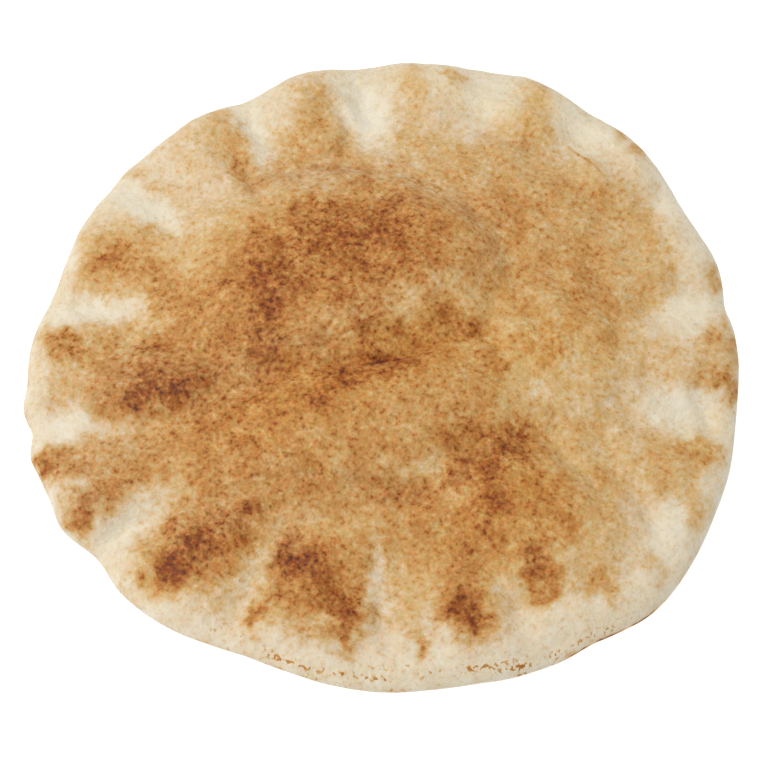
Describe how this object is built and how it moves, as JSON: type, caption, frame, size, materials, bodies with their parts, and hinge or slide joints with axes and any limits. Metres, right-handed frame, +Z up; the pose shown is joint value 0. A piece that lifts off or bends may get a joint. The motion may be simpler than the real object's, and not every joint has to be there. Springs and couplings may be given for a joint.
{
  "type": "pita bread",
  "caption": "Whole uncut round pita bread, flat underneath, with a puffed and sunken browned crust and a pinched pale rim.",
  "frame": {"origin": "under the middle of the bread, on the surface that it lies on", "axes": "+Z up through the bread's thickness; -Y towards its near rim, where the rolled edge shows; +X to the right of that"},
  "size_m": [0.2014, 0.2012, 0.023],
  "materials": {
    "crust": "matt, dry baked crust, cream where it is pale and mottled brown where it is baked"
  },
  "bodies": {
    "root": {"pita_bread": "crust"}
  },
  "joints": []
}
